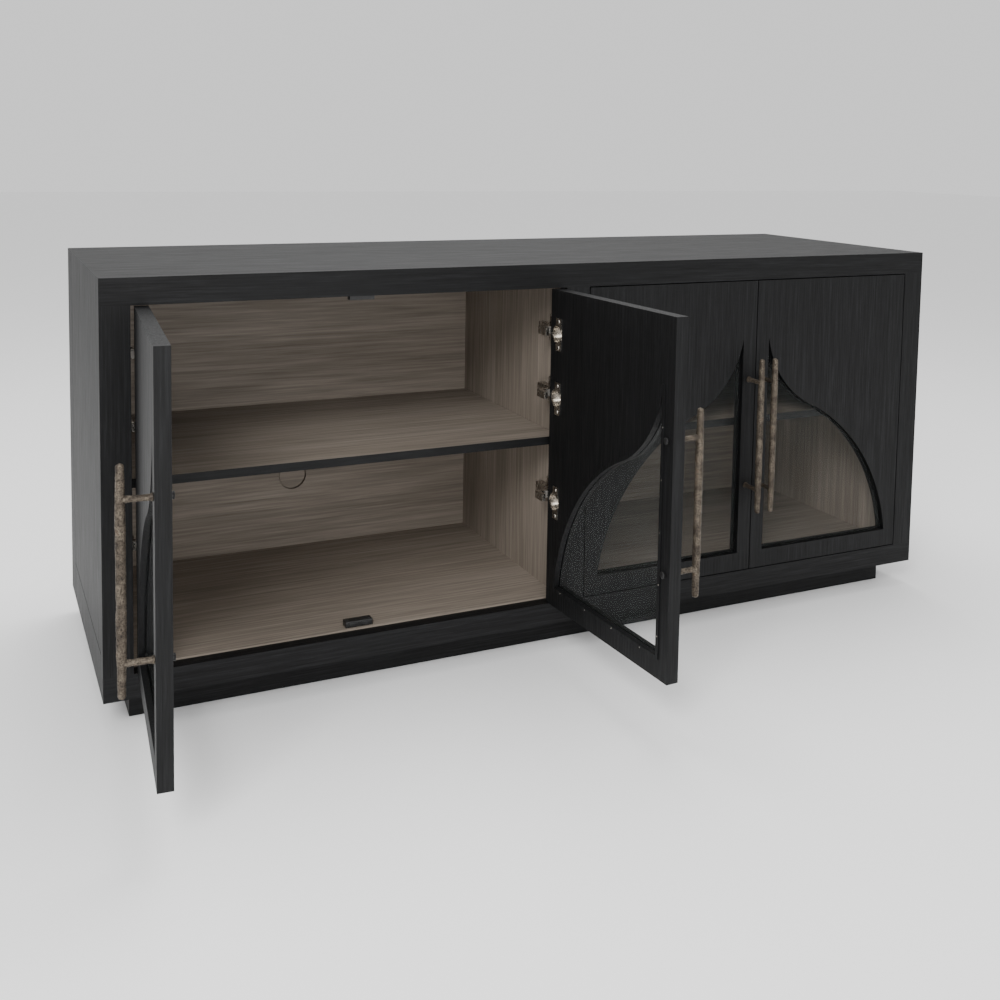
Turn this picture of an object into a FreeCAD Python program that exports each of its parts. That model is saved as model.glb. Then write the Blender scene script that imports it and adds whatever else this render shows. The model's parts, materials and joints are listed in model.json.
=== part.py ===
import FreeCAD, Part
import os

# Four-door media cabinet. Millimetres, +Z up, origin on the floor at the centre of the plinth.
# The front is at -Y. Doors 1 and 2 stand open at rest, doors 3 and 4 are closed.

SIZES = {
    "width": 1680, "depth": 545, "height": 730, "board": 25, "stile": 47, "toprail": 44, "botrail": 41,
    "plinth": 52, "plinset": 45, "plfront": 50, "divthick": 36, "lining": 17, "floorthick": 19,
    "shelftop": 403, "shelfthick": 15, "shelfgap": 1, "bayinside": 485, "backthick": 12, "holer": 29,
    "holebelow": 142, "plugthick": 5, "pluggap": 2, "groove": 2, "sideframe": 72,
    "doorthick": 22, "gap": 2, "pivx": 8, "pivy": 2, "meetstile": 30,
    "bead": 6, "glass": 4, "glassback": 9, "cupr": 17.5, "cupdepth": 11.5, "cupin": 22.5, "cupwall": 2,
    "barr": 7, "standoff": 41, "barlen": 312, "postr": 5, "postpitch": 216, "barmid": 378,
    "boltr": 3, "headr": 5, "headthick": 3,
}
# Distance of each hinge below the top of its door.
HINGE_DROPS = (81, 199, 393)
# Points of the ogee, from the meeting edge of the door inward and above the floor.
TIP, NECK, WAIST, BELLY, FOOT = (30, 568), (79, 468), (150, 419), (279, 313), (354, 131)

doc = FreeCAD.newDocument("media_cabinet")
sheet = doc.addObject("Spreadsheet::Sheet", "Sheet")
for row, (alias, value) in enumerate(SIZES.items(), start=1):
    sheet.set("A%d" % row, alias)
    sheet.set("B%d" % row, str(value))
    sheet.setAlias("B%d" % row, alias)
doc.recompute()
ALIASES = sorted(SIZES, key=len, reverse=True)
outputs = []


def bound(text):
    """An expression with every alias pointed at the sheet."""
    words = "".join(c if c.isalnum() or c == "_" else " " for c in text).split()
    for word in sorted(set(words), key=len, reverse=True):
        if word in SIZES:
            text = text.replace(word, "\x01%d\x02" % ALIASES.index(word))
    for index, alias in enumerate(ALIASES):
        text = text.replace("\x01%d\x02" % index, "Sheet." + alias)
    return text


def place(thing, x, y, z):
    for axis, text in zip("xyz", (x, y, z)):
        thing.setExpression("Placement.Base." + axis, bound(text))


def box(name, x, y, z):
    """A box between three pairs of expressions."""
    thing = doc.addObject("Part::Box", name)
    for side, (low, high) in zip(("Length", "Width", "Height"), (x, y, z)):
        thing.setExpression(side, bound("(%s) - (%s)" % (high, low)))
    place(thing, x[0], y[0], z[0])
    return thing


def rod(name, radius, length, start, axis="z"):
    """A cylinder from a start point along one axis."""
    thing = doc.addObject("Part::Cylinder", name)
    thing.setExpression("Radius", bound(radius))
    thing.setExpression("Height", bound(length))
    turns = {"z": FreeCAD.Rotation(), "x": FreeCAD.Rotation(FreeCAD.Vector(0, 1, 0), 90),
             "y": FreeCAD.Rotation(FreeCAD.Vector(1, 0, 0), -90)}
    thing.Placement = FreeCAD.Placement(FreeCAD.Vector(), turns[axis])
    place(thing, *start)
    return thing


def mitred(name, outer, inner, thick, turn, base):
    """A board whose long faces differ in size, so that its edges are mitred."""
    thing = doc.addObject("Part::Wedge", name)
    fields = ("Xmin", "Xmax", "Zmin", "Zmax", "X2min", "X2max", "Z2min", "Z2max")
    for field, text in zip(fields, outer + inner):
        thing.setExpression(field, bound(text))
    thing.Ymin = 0
    thing.setExpression("Ymax", bound(thick))
    thing.Placement = FreeCAD.Placement(FreeCAD.Vector(), turn)
    place(thing, *base)
    return thing


def join(name, parts):
    thing = doc.addObject("Part::MultiFuse", name)
    thing.Shapes = parts
    return thing


def cut(name, base, tool):
    thing = doc.addObject("Part::Cut", name)
    thing.Base = base
    thing.Tool = tool
    return thing


def group(name, parts):
    """Separate solids that share one node."""
    thing = doc.addObject("Part::Compound", name)
    thing.Links = parts
    return thing


def finish(label, thing):
    thing.Label = label
    outputs.append(thing)
    return thing


FRONT, BACK = "-depth/2", "depth/2"
OPEN_TOP, OPEN_LOW = "height - toprail", "plinth + botrail"
INNER_FRONT = FRONT + " + board"
PANEL_BACK = FRONT + " + bayinside"


def build_case():
    """Mitred outer boards and the face frame."""
    wide = ("-width/2", "width/2")
    flip = FreeCAD.Rotation(FreeCAD.Vector(1, 0, 0), -90)
    turned = FreeCAD.Rotation(FreeCAD.Vector(1, 0, 0), 90)
    narrow = ("-width/2 + board", "width/2 - board")
    finish("top_panel", mitred("TopPanel", wide + (FRONT, BACK), narrow + (INNER_FRONT, BACK), "board",
                               flip, ("0", "0", "height")))
    finish("bottom_panel", mitred("BottomPanel", wide + (FRONT, BACK), narrow + (FRONT, BACK + " - board"),
                                  "board", turned, ("0", "0", "plinth")))
    for side, sign in (("left", -1), ("right", 1)):
        turn = FreeCAD.Rotation(FreeCAD.Vector(0, 0, 1), 90 * sign)
        inner = (FRONT + " + board", BACK) if sign > 0 else (FRONT, BACK + " - board")
        board = mitred(side + "_board", (FRONT, BACK, "plinth", "height"),
                       inner + ("plinth + board", "height - board"), "board", turn,
                       ("%d*width/2" % sign, "0", "0"))
        lows = ("-width/2 - 1", "-width/2 + groove") if sign < 0 else ("width/2 - groove", "width/2 + 1")
        upright = box(side + "_upright_groove", lows, ("depth/2 - sideframe - groove", "depth/2 - sideframe"),
                      ("plinth - 1", "height - 3"))
        level = box(side + "_level_groove", lows, (INNER_FRONT, "depth/2 - sideframe"),
                    ("plinth + sideframe - groove", "plinth + sideframe"))
        finish(side + "_side_panel", cut(side + "_side", board, join(side + "_grooves", [upright, level])))
    upright = FreeCAD.Rotation()
    for name, low, high in (("top_rail", OPEN_TOP, "height"), ("bottom_rail", "plinth", OPEN_LOW)):
        inner_low, inner_high = (low, high + " - board") if name == "top_rail" else (low + " + board", high)
        finish(name, mitred(name + "_board", wide + (low, high), narrow + (inner_low, inner_high), "board",
                            upright, ("0", FRONT, "0")))
    finish("left_stile", mitred("LeftStile", ("-width/2", "-width/2 + stile", OPEN_LOW, OPEN_TOP),
                                ("-width/2 + board", "-width/2 + stile", OPEN_LOW, OPEN_TOP), "board",
                                upright, ("0", FRONT, "0")))
    finish("right_stile", mitred("RightStile", ("width/2 - stile", "width/2", OPEN_LOW, OPEN_TOP),
                                 ("width/2 - stile", "width/2 - board", OPEN_LOW, OPEN_TOP), "board",
                                 upright, ("0", FRONT, "0")))
    finish("centre_stile", box("CentreStile", ("-stile/2", "stile/2"), (FRONT, INNER_FRONT),
                               (OPEN_LOW, OPEN_TOP)))


def build_plinth():
    tall = ("0", "plinth")
    outer = "(width/2 - plinset)"
    front = "-depth/2 + plfront"
    long_way = ("-" + outer, outer)
    finish("plinth_front", box("PlinthFront", long_way, (front, front + " + board"), tall))
    finish("plinth_back", box("PlinthBack", long_way, (BACK + " - 2*board", BACK + " - board"), tall))
    between = (front + " + board", BACK + " - 2*board")
    ends = [box("PlinthLeft", ("-" + outer, "-" + outer + " + board"), between, tall),
            box("PlinthRight", (outer + " - board", outer), between, tall),
            box("PlinthMiddle", ("-board/2", "board/2"), between, tall)]
    finish("plinth_ends", group("PlinthEnds", ends))


def build_interior():
    """Divider, linings, floors, shelves, and back panels with their cable holes and plugs."""
    floor_top = "plinth + board + floorthick"
    under_top = "height - board"
    finish("divider", box("Divider", ("-divthick/2", "divthick/2"), (INNER_FRONT, PANEL_BACK),
                          ("plinth + board", under_top)))
    finish("left_lining", box("LeftLining", ("-width/2 + board", "-width/2 + board + lining"),
                              (INNER_FRONT, PANEL_BACK), ("plinth + board", under_top)))
    finish("right_lining", box("RightLining", ("width/2 - board - lining", "width/2 - board"),
                               (INNER_FRONT, PANEL_BACK), ("plinth + board", under_top)))
    pins = []
    catches, keepers = [], []
    for side, sign in (("left", -1), ("right", 1)):
        outer, inner = "width/2 - board - lining", "divthick/2"
        span = ("-(%s)" % outer, "-(%s)" % inner) if sign < 0 else (inner, outer)
        centre = "%d*(width/2 - stile + stile/2)/2" % sign
        finish(side + "_floor", box(side + "_floor_board", span, (INNER_FRONT, PANEL_BACK),
                                    ("plinth + board", floor_top)))
        finish(side + "_shelf", box(side + "_shelf_board", (span[0] + " + shelfgap", span[1] + " - shelfgap"),
                                    (INNER_FRONT + " + 3", PANEL_BACK + " - 1"),
                                    ("shelftop - shelfthick", "shelftop")))
        back = box(side + "_back_board", ("-width/2 + board", "0") if sign < 0 else ("0", "width/2 - board"),
                   (PANEL_BACK, PANEL_BACK + " + backthick"), ("plinth + board", under_top))
        at = (centre, PANEL_BACK + " - 1", "shelftop - shelfthick - holebelow")
        hole = rod(side + "_cable_hole", "holer", "backthick + 2", at, "y")
        finish(side + "_back_panel", cut(side + "_back", back, hole))
        plug_at = (centre, PANEL_BACK + " + 4", at[2])
        disc = rod(side + "_plug_disc", "holer - pluggap", "plugthick", plug_at, "y")
        rim_at = (centre, PANEL_BACK + " + 4 + plugthick", at[2])
        rim = rod(side + "_plug_rim", "holer", "backthick - 4 - plugthick", rim_at, "y")
        finish(side + "_cable_plug", join(side + "_plug", [disc, rim]))
        for edge, start in (("a", span[0]), ("b", span[1] + " - 8")):
            for depth, along in (("f", INNER_FRONT + " + 60"), ("r", PANEL_BACK + " - 60")):
                pins.append(rod("%s_pin_%s%s" % (side, edge, depth), "2.5", "8",
                                (start, along, "shelftop - shelfthick - 2.5"), "x"))
        catches.append(box(side + "_catch", (centre + " - 25", centre + " + 25"),
                           (INNER_FRONT + " + 3", INNER_FRONT + " + 23"), (floor_top, floor_top + " + 11")))
        keepers.append(box(side + "_top_catch", (centre + " - 22", centre + " + 22"),
                           (INNER_FRONT, INNER_FRONT + " + 14"), (OPEN_TOP + " - 10", under_top)))
    finish("shelf_pins", group("ShelfPins", pins))
    finish("floor_catches", group("FloorCatches", catches))
    finish("top_catches", group("TopCatches", keepers))


def ogee_outline(sign, reach, grow, depth):
    """The glazed opening as a closed upright face at one depth, grown outward by some millimetres."""

    def at(point):
        return FreeCAD.Vector(sign * (reach - point[0]), depth, point[1])

    low_free = at((TIP[0], FOOT[1]))
    edges = [Part.LineSegment(low_free, at(TIP)).toShape(),
             Part.Arc(at(TIP), at(NECK), at(WAIST)).toShape(),
             Part.Arc(at(WAIST), at(BELLY), at(FOOT)).toShape(),
             Part.LineSegment(at(FOOT), low_free).toShape()]
    face = Part.Face(Part.Wire(edges))
    return face.makeOffset2D(grow, 0) if grow else face


def prism(name, face, length):
    """A solid from an upright face, pushed along +Y."""
    solid = face.extrude(FreeCAD.Vector(0, length, 0))
    if solid.ShapeType != "Solid":
        solid = solid.Solids[0]
    thing = doc.addObject("Part::Feature", name)
    thing.Shape = solid
    return thing


def build_door(number, sign, pivot_x, open_angle):
    """One door about its own pivot. sign is +1 where the free edge points to +X when closed."""
    name = "door_%d_" % number
    width_text = "((width/2 - stile*1.5)/2 - gap*1.5)"
    reach_text = "(%s - pivx + gap)" % width_text
    reach = (sheet.width / 2 - sheet.stile * 1.5) / 2 - sheet.gap * 1.5 - sheet.pivx + sheet.gap
    front, inside = "-pivy", "doorthick - pivy"
    low, high = "plinth + botrail + gap", "height - toprail - gap"
    turn = FreeCAD.Rotation(FreeCAD.Vector(0, 0, 1), -sign * open_angle)
    home = FreeCAD.Placement(FreeCAD.Vector(pivot_x, -sheet.depth / 2 + sheet.pivy, 0), turn)

    def across(a, b):
        return (a, b) if sign > 0 else ("-(%s)" % b, "-(%s)" % a)

    def put(label, thing):
        thing.Placement = home
        finish(name + label, thing)

    hinge_heights = ["height - toprail - gap - %g" % drop for drop in HINGE_DROPS]
    cup_x = "%d*(gap - pivx + cupin)" % sign
    post_x = "%d*(%s - meetstile/2)" % (sign, reach_text)
    post_heights = ["barmid + postpitch/2", "barmid - postpitch/2"]

    slab = box(name + "slab", across("gap - pivx", reach_text), (front, inside), (low, high))
    seat_start = -sheet.pivy + sheet.glassback
    hole = prism(name + "hole", ogee_outline(sign, reach, 0, -sheet.pivy - 1), sheet.doorthick + 2)
    seat = prism(name + "seat", ogee_outline(sign, reach, sheet.bead, seat_start), sheet.doorthick)
    drills = [rod(name + "cup_hole_%d" % i, "cupr", "cupdepth + 1", (cup_x, inside + " - cupdepth", z), "y")
              for i, z in enumerate(hinge_heights)]
    drills += [rod(name + "bolt_hole_%d" % i, "boltr", "doorthick + 2", (post_x, front + " - 1", z), "y")
               for i, z in enumerate(post_heights)]
    put("panel", cut(name + "board", slab, join(name + "tools", [hole, seat] + drills)))

    put("glass", prism(name + "pane", ogee_outline(sign, reach, sheet.bead - 0.5, seat_start), sheet.glass))
    ring_start = seat_start + sheet.glass
    ring_depth = sheet.doorthick - sheet.glassback - sheet.glass + 1.5
    ring = prism(name + "ring", ogee_outline(sign, reach, sheet.bead, ring_start), ring_depth)
    bore = prism(name + "ring_bore", ogee_outline(sign, reach, -1, ring_start - 1), ring_depth + 2)
    put("bead", cut(name + "moulding", ring, bore))

    bar_y = front + " - standoff"
    bar = rod(name + "bar", "barr", "barlen", (post_x, bar_y, "barmid - barlen/2"))
    posts = [rod(name + "post_%d" % i, "postr", "standoff", (post_x, bar_y, z), "y")
             for i, z in enumerate(post_heights)]
    put("handle", join(name + "pull", [bar] + posts))

    bolts = []
    for i, z in enumerate(post_heights):
        shank = rod(name + "shank_%d" % i, "boltr - 0.1", "doorthick", (post_x, front, z), "y")
        head = rod(name + "head_%d" % i, "headr", "headthick", (post_x, inside, z), "y")
        bolts.append(join(name + "bolt_%d" % i, [shank, head]))
    put("handle_bolts", group(name + "bolts", bolts))

    cups = []
    for i, z in enumerate(hinge_heights):
        body = rod(name + "cup_body_%d" % i, "cupr", "cupdepth", (cup_x, inside + " - cupdepth", z), "y")
        plate = box(name + "cup_plate_%d" % i, across("gap - pivx + cupin - 3", "gap - pivx + cupin + 14"),
                    (inside, inside + " + 1.5"), (z + " - 30", z + " + 30"))
        room = rod(name + "cup_room_%d" % i, "cupr - cupwall", "cupdepth + 4",
                   (cup_x, inside + " - cupdepth + 1", z), "y")
        cups.append(cut(name + "cup_%d" % i, join(name + "cup_whole_%d" % i, [body, plate]), room))
    put("hinge_cups", group(name + "cups", cups))

    put("strike", box(name + "strike_plate", across(reach_text + " - 18", reach_text + " - 3"),
                      (inside, inside + " + 1"), (high + " - 24", high + " - 4")))


def build_hinge_arms(number, sign, edge_x):
    """Cranked arms on the case, one solid per hinge. edge_x is the side of the door opening."""
    arms = []
    for i, drop in enumerate(HINGE_DROPS):
        z = "height - toprail - gap - %g" % drop

        def piece(tag, near, far, y_low, y_high, half):
            low, high = (near, far) if sign > 0 else (-far, -near)
            across = ("%s + %g" % (edge_x, low), "%s + %g" % (edge_x, high))
            deep = (FRONT + " + %g" % y_low, FRONT + " + %g" % y_high)
            return box("arm_%d_%d_%s" % (number, i, tag), across, deep,
                       (z + " - %g" % half, z + " + %g" % half))

        lining_face = -5 if number in (1, 4) else -5.5
        pieces = [piece("wing", lining_face, 0, 52, 68, 24), piece("base", lining_face, 9, 40, 96, 8),
                  piece("crank", lining_face, 36, 34, 44, 7), piece("tip", 29, 36, 15, 44, 7)]
        arms.append(join("arm_%d_%d" % (number, i), pieces))
    finish("hinge_arms_%d" % number, group("HingeArms%d" % number, arms))


build_case()
build_plinth()
build_interior()
edge = SIZES["width"] / 2 - SIZES["stile"]
mid_edge = SIZES["stile"] / 2
inset = SIZES["pivx"]
for number, sign, pivot_x, angle in ((1, 1, -edge + inset, 94), (2, -1, -mid_edge - inset, 93),
                                     (3, 1, mid_edge + inset, 0), (4, -1, edge - inset, 0)):
    build_door(number, sign, pivot_x, angle)
for number, sign, edge_x in ((1, 1, "-width/2 + stile"), (2, -1, "-stile/2"),
                             (3, 1, "stile/2"), (4, -1, "width/2 - stile")):
    build_hinge_arms(number, sign, edge_x)
doc.recompute()

for thing in doc.Objects:
    if "Invalid" in thing.State or "Error" in thing.State:
        raise RuntimeError("failed: " + thing.Name)
os.makedirs("parts", exist_ok=True)
for thing in outputs:
    if thing.Shape.isNull() or not thing.Shape.isValid():
        raise RuntimeError("bad shape: " + thing.Label)
    thing.Shape.exportStep("parts/%s.step" % thing.Label)
print(len(outputs), "nodes")
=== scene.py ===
import json
import math
import bmesh
import bpy
from mathutils import Matrix, Vector, noise


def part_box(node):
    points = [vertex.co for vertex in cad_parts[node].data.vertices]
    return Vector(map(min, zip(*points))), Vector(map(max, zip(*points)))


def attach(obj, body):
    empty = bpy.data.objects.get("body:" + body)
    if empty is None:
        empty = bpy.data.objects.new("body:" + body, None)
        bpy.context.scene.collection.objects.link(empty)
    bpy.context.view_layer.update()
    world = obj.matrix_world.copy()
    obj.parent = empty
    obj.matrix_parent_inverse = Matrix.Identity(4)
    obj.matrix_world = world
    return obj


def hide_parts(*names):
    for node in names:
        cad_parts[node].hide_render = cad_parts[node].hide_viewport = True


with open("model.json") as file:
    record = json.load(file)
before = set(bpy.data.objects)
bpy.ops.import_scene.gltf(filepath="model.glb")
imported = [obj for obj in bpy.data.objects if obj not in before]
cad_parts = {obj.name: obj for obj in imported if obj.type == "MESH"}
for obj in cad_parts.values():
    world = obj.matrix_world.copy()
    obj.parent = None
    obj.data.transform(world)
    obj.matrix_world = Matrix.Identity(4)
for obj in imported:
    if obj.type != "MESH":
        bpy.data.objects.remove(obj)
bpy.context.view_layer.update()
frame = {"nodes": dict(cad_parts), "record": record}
JOINTS = {j["name"]: j for j in frame["record"]["behaviour"]["joints"]}

# Boards whose grain runs along X. It runs along Z on all the others.
HORIZONTAL = ("top_panel", "bottom_panel", "top_rail", "bottom_rail", "plinth_front", "plinth_back",
              "left_floor", "right_floor", "left_shelf", "right_shelf", "left_back_panel", "right_back_panel",
              "left_cable_plug", "right_cable_plug")


# ---------------------------------------------------------------- materials

def new_material(name, **sockets):
    """A material and its Principled shader, with constants on the shader's own sockets."""
    mat = bpy.data.materials.new(name)
    mat.use_nodes = True
    shader = mat.node_tree.nodes["Principled BSDF"]
    for socket, value in sockets.items():
        shader.inputs[socket.replace("_", " ")].default_value = value
    return mat, mat.node_tree, shader


def add(tree, kind, **values):
    """A shader node, with values for its sockets or its settings."""
    node = tree.nodes.new(kind)
    for key, value in values.items():
        if key in node.inputs:
            node.inputs[key].default_value = value
        else:
            setattr(node, key, value)
    return node


def stretched(tree, scale):
    """Object coordinates scaled by axis."""
    coords = tree.nodes.new("ShaderNodeTexCoord")
    mapping = tree.nodes.new("ShaderNodeMapping")
    mapping.inputs["Scale"].default_value = scale
    tree.links.new(coords.outputs["Object"], mapping.inputs["Vector"])
    return mapping.outputs["Vector"]


def noise_field(tree, vector, scale, detail, rough=0.6):
    """Fractal noise between 0 and 1."""
    field = add(tree, "ShaderNodeTexNoise", Scale=scale, Detail=detail, Roughness=rough)
    tree.links.new(vector, field.inputs["Vector"])
    return field.outputs["Fac"]


def ramp(tree, value, stops):
    """A value turned into a colour by stops of (position, colour)."""
    node = tree.nodes.new("ShaderNodeValToRGB")
    elements = node.color_ramp.elements
    elements[0].position, elements[0].color = stops[0][0], (*stops[0][1], 1)
    elements[1].position, elements[1].color = stops[-1][0], (*stops[-1][1], 1)
    for position, colour in stops[1:-1]:
        elements.new(position).color = (*colour, 1)
    tree.links.new(value, node.inputs["Fac"])
    return node.outputs["Color"]


def mix(tree, mode, amount, first, second):
    node = add(tree, "ShaderNodeMix", data_type="RGBA", blend_type=mode)
    node.inputs[0].default_value = amount
    tree.links.new(first, node.inputs[6])
    tree.links.new(second, node.inputs[7])
    return node.outputs[2]


def bump(tree, shader, height, strength, distance):
    node = add(tree, "ShaderNodeBump", Strength=strength, Distance=distance)
    tree.links.new(height, node.inputs["Height"])
    tree.links.new(node.outputs["Normal"], shader.inputs["Normal"])


def along(grain, fine, coarse):
    """Noise scale per axis for a board whose grain runs along X or Z."""
    return (coarse, fine, fine) if grain == "x" else (fine, fine, coarse)


def black_oak(grain):
    """Black wire-brushed oak: open pores, faint blue-grey streaks and a low sheen."""
    mat, tree, shader = new_material("black_oak_" + grain, IOR=1.4, Specular_IOR_Level=0.3)
    pores = noise_field(tree, stretched(tree, along(grain, 420, 11)), 1.0, 6, 0.7)
    bands = noise_field(tree, stretched(tree, along(grain, 38, 1.4)), 1.0, 4, 0.55)
    fine = ramp(tree, pores, ((0.34, (0.0012, 0.0012, 0.0013)), (0.52, (0.0036, 0.0037, 0.0041)),
                              (0.74, (0.0125, 0.0130, 0.0140))))
    wide = ramp(tree, bands, ((0.3, (0.55, 0.55, 0.56)), (0.7, (1.0, 1.0, 1.0))))
    tree.links.new(mix(tree, "MULTIPLY", 0.8, fine, wide), shader.inputs["Base Color"])
    rough = ramp(tree, pores, ((0.3, (0.68, 0.68, 0.68)), (0.7, (0.44, 0.44, 0.44))))
    tree.links.new(rough, shader.inputs["Roughness"])
    bump(tree, shader, pores, 0.35, 0.0006)
    return mat


def grey_oak(grain):
    """Weathered grey-brown oak: cathedral bands under fine streaks."""
    mat, tree, shader = new_material("grey_oak_" + grain, IOR=1.45)
    pores = noise_field(tree, stretched(tree, along(grain, 210, 5)), 1.0, 6, 0.65)
    bands = noise_field(tree, stretched(tree, along(grain, 14, 1.1)), 1.0, 5, 0.55)
    fine = ramp(tree, pores, ((0.28, (0.16, 0.135, 0.11)), (0.5, (0.235, 0.20, 0.165)),
                              (0.74, (0.33, 0.285, 0.24))))
    wide = ramp(tree, bands, ((0.3, (0.66, 0.64, 0.62)), (0.68, (1.0, 1.0, 1.0))))
    tree.links.new(mix(tree, "MULTIPLY", 0.8, fine, wide), shader.inputs["Base Color"])
    rough = ramp(tree, pores, ((0.3, (0.75, 0.75, 0.75)), (0.7, (0.55, 0.55, 0.55))))
    tree.links.new(rough, shader.inputs["Roughness"])
    bump(tree, shader, pores, 0.25, 0.0004)
    return mat


def aged_bronze():
    """Cast antique bronze: brown and rust patches, lighter rubbed peaks, dark pits."""
    mat, tree, shader = new_material("aged_bronze", Metallic=0.55, Roughness=0.6)
    vector = stretched(tree, (1, 1, 1))
    patches = noise_field(tree, vector, 60, 6, 0.65)
    pits = noise_field(tree, vector, 420, 4, 0.6)
    tone = ramp(tree, patches, ((0.3, (0.022, 0.016, 0.012)), (0.46, (0.07, 0.055, 0.04)),
                                (0.6, (0.13, 0.108, 0.082)), (0.75, (0.085, 0.043, 0.024))))
    dark = ramp(tree, pits, ((0.36, (0.22, 0.2, 0.18)), (0.55, (1, 1, 1))))
    tree.links.new(mix(tree, "MULTIPLY", 0.8, tone, dark), shader.inputs["Base Color"])
    rough = ramp(tree, pits, ((0.35, (0.85, 0.85, 0.85)), (0.65, (0.42, 0.42, 0.42))))
    tree.links.new(rough, shader.inputs["Roughness"])
    bump(tree, shader, pits, 0.6, 0.0008)
    return mat


def smooth_metal(name, low, high, metallic, rough_low, rough_high):
    """Plated or painted metal, or moulded plastic, with faint handling marks."""
    mat, tree, shader = new_material(name, Metallic=metallic)
    marks = noise_field(tree, stretched(tree, (90, 90, 90)), 1.0, 5, 0.6)
    tree.links.new(ramp(tree, marks, ((0.35, low), (0.65, high))), shader.inputs["Base Color"])
    rough = ramp(tree, marks, ((0.35, (rough_low,) * 3), (0.65, (rough_high,) * 3)))
    tree.links.new(rough, shader.inputs["Roughness"])
    return mat


def clear_glass():
    """Thin clear glass, almost all seen through, with faint smears in its tint."""
    mat, tree, shader = new_material("clear_glass", Alpha=0.06, Roughness=0.03, IOR=1.45)
    smears = noise_field(tree, stretched(tree, (6, 6, 6)), 1.0, 4, 0.6)
    tree.links.new(ramp(tree, smears, ((0.4, (0.05, 0.055, 0.052)), (0.6, (0.09, 0.10, 0.095)))),
                   shader.inputs["Base Color"])
    return mat


MATERIALS = {
    "black_x": black_oak("x"), "black_z": black_oak("z"), "grey_x": grey_oak("x"), "grey_z": grey_oak("z"),
    "aged_bronze": aged_bronze(), "clear_glass": clear_glass(),
    "nickel": smooth_metal("nickel", (0.34, 0.32, 0.29), (0.50, 0.47, 0.43), 1.0, 0.18, 0.34),
    "black_metal": smooth_metal("black_metal", (0.008, 0.008, 0.008), (0.03, 0.03, 0.03), 0.6, 0.3, 0.5),
    "black_plastic": smooth_metal("black_plastic", (0.006, 0.006, 0.006), (0.014, 0.014, 0.014),
                                  0.0, 0.3, 0.45),
}


def finish_nodes():
    """The material of each CAD node's slot, with its grain the right way."""
    slots = {part["node"]: part["material_slot"] for part in frame["record"]["subparts"]}
    for name, thing in frame["nodes"].items():
        slot = slots[name]
        grain = "x" if name in HORIZONTAL else "z"
        key = {"black_oak": "black_" + grain, "grey_oak": "grey_" + grain}.get(slot, slot)
        if not thing.material_slots:
            thing.data.materials.append(None)
        for place in thing.material_slots:
            place.material = MATERIALS[key]


# ---------------------------------------------------------------- doors

BAR_RINGS = 150
BAR_SIDES = 40
BAR_END = 0.7             # length of the rounded end, in bar radii
BAR_TAPER = 0.22          # length of the taper at each end, as a part of the bar
BAR_END_RADIUS = 0.80     # radius at the bar's ends, as a part of the full one
BAR_TIP_RADIUS = 0.0006
POST_STEPS = 28
POST_SIDES = 24
POST_RADIUS = 0.0048
POST_NECK = 0.3           # the part of a post that widens into the bar, and by how much
NECK_FLARE = 0.3
POST_FOOT = 0.14          # the part that widens into the door
FOOT_FLARE = 0.35
CASTING_DEPTH = 0.0011
SEED_STEP = 3.1           # keeps the castings of two handles from matching
BOLT_HEAD_RADIUS = 0.005
HINGE_FLANGE = 0.060      # height of a cup's flange
HINGE_CUP_RADIUS = 0.0175
HINGE_TOP_TO_MIDDLE = 0.118
SCREW_PAST_CUP = 0.0055   # the flange's middle line, measured from the cup's centre
SCREW_RISE = 0.024        # a screw's height above or below the cup's centre

# Profiles of small heads: (height above the surface, radius).
SCREW_HEAD = [(-0.0004, 0.0041), (0.0005, 0.0040), (0.0011, 0.0030), (0.0013, 0.0008)]
BRAD_HEAD = [(-0.0003, 0.0011), (0.0002, 0.0011), (0.0005, 0.0007), (0.0006, 0.0001)]
CATCH_RIVET = [(-0.0002, 0.0028), (0.0004, 0.0026), (0.0008, 0.0008)]

# The same for a bolt's dome, with the radius as a part of the bolt head's.
BOLT_DOME = [(-0.0005, 1.08), (0.0006, 1.15), (0.0012, 0.9), (0.0017, 0.5), (0.0019, 0.06)]


def door_facts(number):
    """Pivot, side (+1 where the free edge points to +X) and opening at rest of one door."""
    joint = JOINTS["door_%d_swing" % number]
    side = -joint["axis"][2]
    opened = -joint["range_deg"][0] if joint["range_deg"][0] < 0 else 0.0
    return Vector(joint["pos_m"]), side, math.radians(opened)


def hang(number, mesh_object):
    """Turns a piece built on the closed door 3 to where it is on another door."""
    pivot, side, opened = door_facts(number)
    base = door_facts(3)[0]
    turn = Matrix.Rotation(-side * opened, 4, "Z")
    flip = Matrix.Diagonal((side, 1, 1, 1))
    to_pivot = Matrix.Translation((-base.x, -base.y, 0))
    shift = Matrix.Translation((pivot.x, pivot.y, 0)) @ turn @ flip @ to_pivot
    mesh_object.data.transform(shift)
    if side < 0:
        mesh_object.data.flip_normals()
    mesh_object.data.update()


def object_from(name, shape, material, smooth=True):
    """A bmesh turned into an object of the scene."""
    mesh = bpy.data.meshes.new(name)
    shape.to_mesh(mesh)
    shape.free()
    for face in mesh.polygons:
        face.use_smooth = smooth
    mesh.materials.append(material)
    thing = bpy.data.objects.new(name, mesh)
    bpy.context.collection.objects.link(thing)
    return thing


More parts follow.
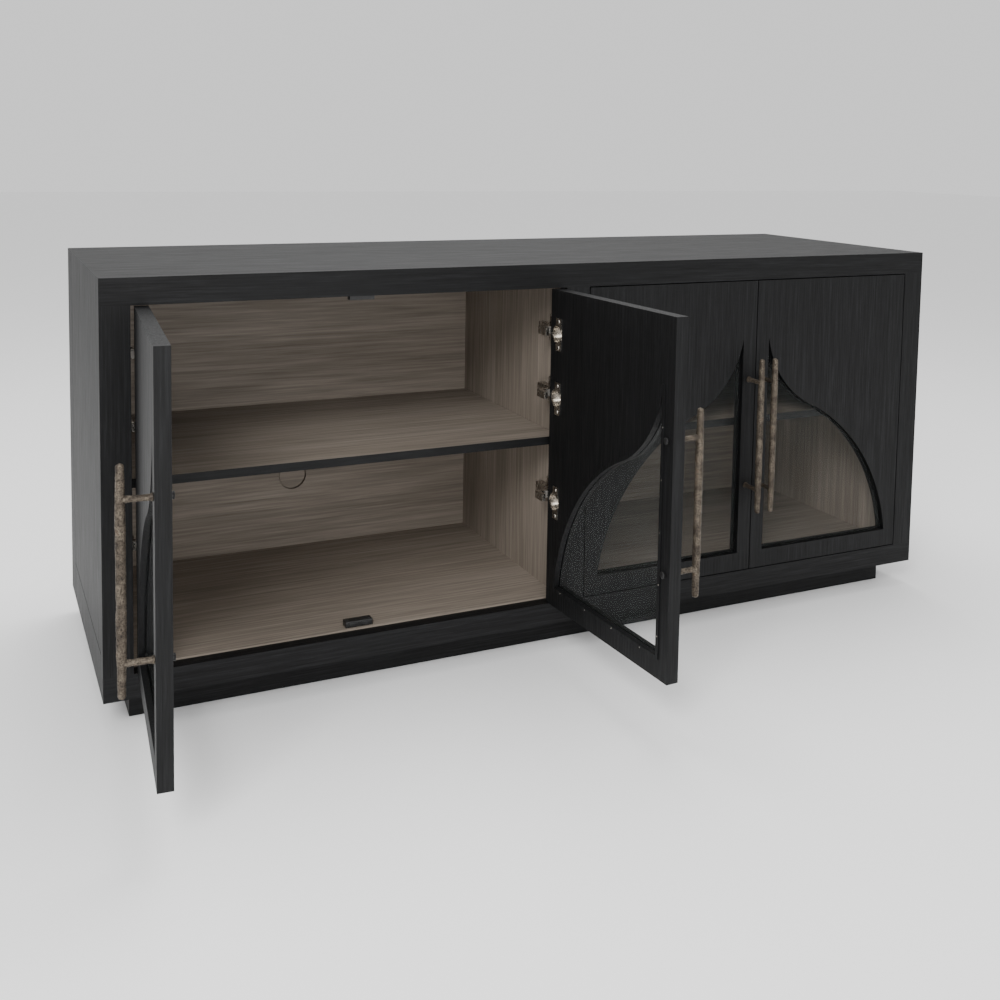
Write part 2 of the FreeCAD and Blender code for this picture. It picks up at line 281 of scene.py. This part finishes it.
def lathe(shape, rings, start, axis, segments):
    """Rings of (distance along the axis, radius) round a start point, closed at both ends."""
    axis = axis.normalized()
    side = axis.orthogonal().normalized()
    other = axis.cross(side)
    loops = []
    for distance, radius in rings:
        centre = start + axis * distance
        loops.append([shape.verts.new(centre + side * (radius * math.cos(2 * math.pi * k / segments))
                                      + other * (radius * math.sin(2 * math.pi * k / segments)))
                      for k in range(segments)])
    for low, high in zip(loops, loops[1:]):
        for k in range(segments):
            nxt = (k + 1) % segments
            shape.faces.new((low[k], low[nxt], high[nxt], high[k]))
    shape.faces.new(list(reversed(loops[0])))
    shape.faces.new(loops[-1])


def pitted(shape, depth, seed):
    """A rough casting's surface: lumps about 11 and 4 mm across, and finer pits."""
    shape.normal_update()
    moves = []
    for vert in shape.verts:
        at = vert.co + Vector((seed, seed * 0.7, seed * 1.3))
        lumps = noise.noise(at * 90) * 0.6 + noise.noise(at * 230) * 0.4
        pits = min(0.0, noise.noise(at * 380) + 0.25)
        moves.append(vert.normal * depth * (lumps * 0.7 + pits * 1.5 - 0.35))
    for vert, move in zip(shape.verts, moves):
        vert.co += move


def cast_handle(number):
    """Rough cast bar with tapered rounded ends on two flared posts."""
    low, high = (Vector(corner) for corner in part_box("door_3_handle"))
    face_y = high.y
    radius = (high.x - low.x) / 2
    centre_x = (low.x + high.x) / 2
    bar_y = low.y + radius
    length = high.z - low.z
    shape = bmesh.new()
    rings = []
    for k in range(BAR_RINGS + 1):
        along_bar = k / BAR_RINGS
        from_end = min(along_bar, 1 - along_bar) * length
        cap = math.sqrt(max(0.0, 1 - max(0.0, 1 - from_end / (radius * BAR_END)) ** 2))
        taper = BAR_END_RADIUS + (1 - BAR_END_RADIUS) * min(1.0, from_end / (length * BAR_TAPER))
        rings.append((along_bar * length, max(BAR_TIP_RADIUS, radius * taper * cap)))
    lathe(shape, rings, Vector((centre_x, bar_y, low.z)), Vector((0, 0, 1)), BAR_SIDES)
    bolts_low, bolts_high = (Vector(corner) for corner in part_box("door_3_handle_bolts"))
    reach = face_y - bar_y
    for height in (bolts_low.z + BOLT_HEAD_RADIUS, bolts_high.z - BOLT_HEAD_RADIUS):
        rings = []
        for k in range(POST_STEPS + 1):
            part = k / POST_STEPS
            near_bar = max(0.0, POST_NECK - part) / POST_NECK
            near_door = max(0.0, part - (1 - POST_FOOT)) / POST_FOOT
            flare = 1.0 + FOOT_FLARE * near_door + NECK_FLARE * near_bar
            rings.append((part * reach, POST_RADIUS * flare))
        lathe(shape, rings, Vector((centre_x, bar_y, height)), Vector((0, 1, 0)), POST_SIDES)
    pitted(shape, CASTING_DEPTH, number * SEED_STEP)
    thing = object_from("cast_handle_%d" % number, shape, MATERIALS["aged_bronze"])
    hang(number, thing)
    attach(thing, "door_%d" % number)
    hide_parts("door_%d_handle" % number)


def bolt_domes(number):
    """Domed heads of the handle bolts on the inside of the meeting stile."""
    low, high = (Vector(corner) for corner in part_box("door_3_handle_bolts"))
    radius = (high.x - low.x) / 2
    rings = [(height, radius * part) for height, part in BOLT_DOME]
    shape = bmesh.new()
    for height in (low.z + radius, high.z - radius):
        lathe(shape, rings, Vector(((low.x + high.x) / 2, high.y, height)), Vector((0, 1, 0)), 28)
    thing = object_from("bolt_domes_%d" % number, shape, MATERIALS["black_metal"])
    hang(number, thing)
    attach(thing, "door_%d" % number)


def hinge_screws(number):
    """Two round-headed screws on each cup's flange."""
    low, high = (Vector(corner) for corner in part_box("door_3_hinge_cups"))
    shape = bmesh.new()
    top_centre = high.z - HINGE_FLANGE / 2
    low_centre = low.z + HINGE_FLANGE / 2
    heights = (top_centre, top_centre - HINGE_TOP_TO_MIDDLE, low_centre)
    x = low.x + HINGE_CUP_RADIUS + SCREW_PAST_CUP
    for centre in heights:
        for step in (-SCREW_RISE, SCREW_RISE):
            lathe(shape, SCREW_HEAD, Vector((x, high.y, centre + step)), Vector((0, 1, 0)), 20)
    thing = object_from("hinge_screws_%d" % number, shape, MATERIALS["nickel"])
    hang(number, thing)
    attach(thing, "door_%d" % number)


def brads(number):
    """Small pin heads along the bead's upright and bottom rail."""
    low, high = (Vector(corner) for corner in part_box("door_3_bead"))
    inset, pitch = 0.0035, 0.085
    first_up, first_across = 0.04, 0.05
    shape = bmesh.new()
    spots = [(high.x - inset, low.z + first_up + pitch * k) for k in range(5)]
    spots += [(high.x - first_across - pitch * k, low.z + inset) for k in range(4)]
    for x, z in spots:
        lathe(shape, BRAD_HEAD, Vector((x, high.y, z)), Vector((0, 1, 0)), 12)
    thing = object_from("brads_%d" % number, shape, MATERIALS["nickel"])
    hang(number, thing)
    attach(thing, "door_%d" % number)


def block(shape, low, high, bevel):
    """A box with rounded edges between two corners."""
    made = bmesh.ops.create_cube(shape, size=1.0)["verts"]
    size = Vector(high) - Vector(low)
    centre = (Vector(high) + Vector(low)) / 2
    for vert in made:
        vert.co = Vector([vert.co[i] * size[i] for i in range(3)]) + centre
    edges = list({edge for vert in made for edge in vert.link_edges})
    bmesh.ops.bevel(shape, geom=edges, offset=bevel, segments=3, affect="EDGES", profile=0.6)


def shelf_edges():
    """Black edge strip along the front of each shelf."""
    proud, sunk, bevel = 0.0008, 0.0001, 0.00035
    for side in ("left", "right"):
        low, high = (Vector(corner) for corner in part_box(side + "_shelf"))
        shape = bmesh.new()
        block(shape, (low.x, low.y - proud, low.z), (high.x, low.y + sunk, high.z), bevel)
        strip = object_from(side + "_shelf_edge", shape, MATERIALS["black_x"], smooth=False)
        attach(strip, "cabinet")


def floor_catches():
    """Twin magnetic catches: a bevelled housing with two sprung noses at the front."""
    low, high = (Vector(corner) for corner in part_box("floor_catches"))
    length, bevel = 0.050, 0.0022
    nose, nose_half, nose_depth, nose_inset, nose_bevel = 0.002, 0.008, 0.006, 0.002, 0.0012
    for side, start in (("left", low.x), ("right", high.x - length)):
        shape = bmesh.new()
        block(shape, (start, low.y + nose, low.z), (start + length, high.y, high.z), bevel)
        for middle in (0.28, 0.72):
            centre = start + length * middle
            block(shape, (centre - nose_half, low.y, low.z + nose_inset),
                  (centre + nose_half, low.y + nose_depth, high.z - nose_inset), nose_bevel)
        for middle in (0.1, 0.9):
            top = Vector((start + length * middle, (low.y + high.y) / 2, high.z))
            lathe(shape, CATCH_RIVET, top, Vector((0, 0, 1)), 18)
        thing = object_from(side + "_floor_catch", shape, MATERIALS["black_plastic"], smooth=False)
        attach(thing, "cabinet")
        if side == "left":
            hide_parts("floor_catches")


# ---------------------------------------------------------------- stage

def area_light(name, place, target, size, power):
    """A round soft light at a place, turned to a target."""
    data = bpy.data.lights.new(name, "AREA")
    data.shape = "DISK"
    data.size = size
    data.energy = power
    lamp = bpy.data.objects.new(name, data)
    bpy.context.collection.objects.link(lamp)
    lamp.location = place
    lamp.rotation_euler = (Vector(target) - Vector(place)).to_track_quat("-Z", "Y").to_euler()


def build_stage():
    """A pale floor, a white surround and three soft lights."""
    under_plinth = 0.0005
    bpy.ops.mesh.primitive_plane_add(size=40, location=(0, 0, -under_plinth))
    floor = bpy.context.object
    floor.name = "studio_floor"
    mat, _, shader = new_material("studio_floor", Roughness=0.7)
    shader.inputs["Base Color"].default_value = (0.93, 0.93, 0.93, 1)
    floor.data.materials.append(mat)
    world = bpy.data.worlds.new("studio")
    world.use_nodes = True
    world.node_tree.nodes["Background"].inputs["Color"].default_value = (1, 1, 1, 1)
    world.node_tree.nodes["Background"].inputs["Strength"].default_value = 1.0
    bpy.context.scene.world = world
    area_light("key", (-2.6, -3.4, 3.0), (0, 0, 0.3), 2.0, 170)
    area_light("top", (0.2, 0.6, 3.4), (0, 0, 0.6), 2.4, 90)
    area_light("bay_fill", (-0.9, -3.2, 1.1), (-0.4, 0.2, 0.1), 0.8, 20)


def build_camera():
    """Three-quarter view from the left front, a little above the top."""
    data = bpy.data.cameras.new("camera")
    data.lens = 41.94
    data.sensor_width = 36
    data.shift_x = -0.0087
    data.shift_y = -0.2569
    camera = bpy.data.objects.new("camera", data)
    bpy.context.collection.objects.link(camera)
    camera.location = (-1.0302, -2.1463, 0.9423)
    camera.rotation_euler = [math.radians(angle) for angle in (85.2543, -0.9614, -25.2238)]
    bpy.context.scene.camera = camera


build_camera()
finish_nodes()
for door in (1, 2, 3, 4):
    cast_handle(door)
    bolt_domes(door)
    hinge_screws(door)
    brads(door)
shelf_edges()
floor_catches()
build_stage()
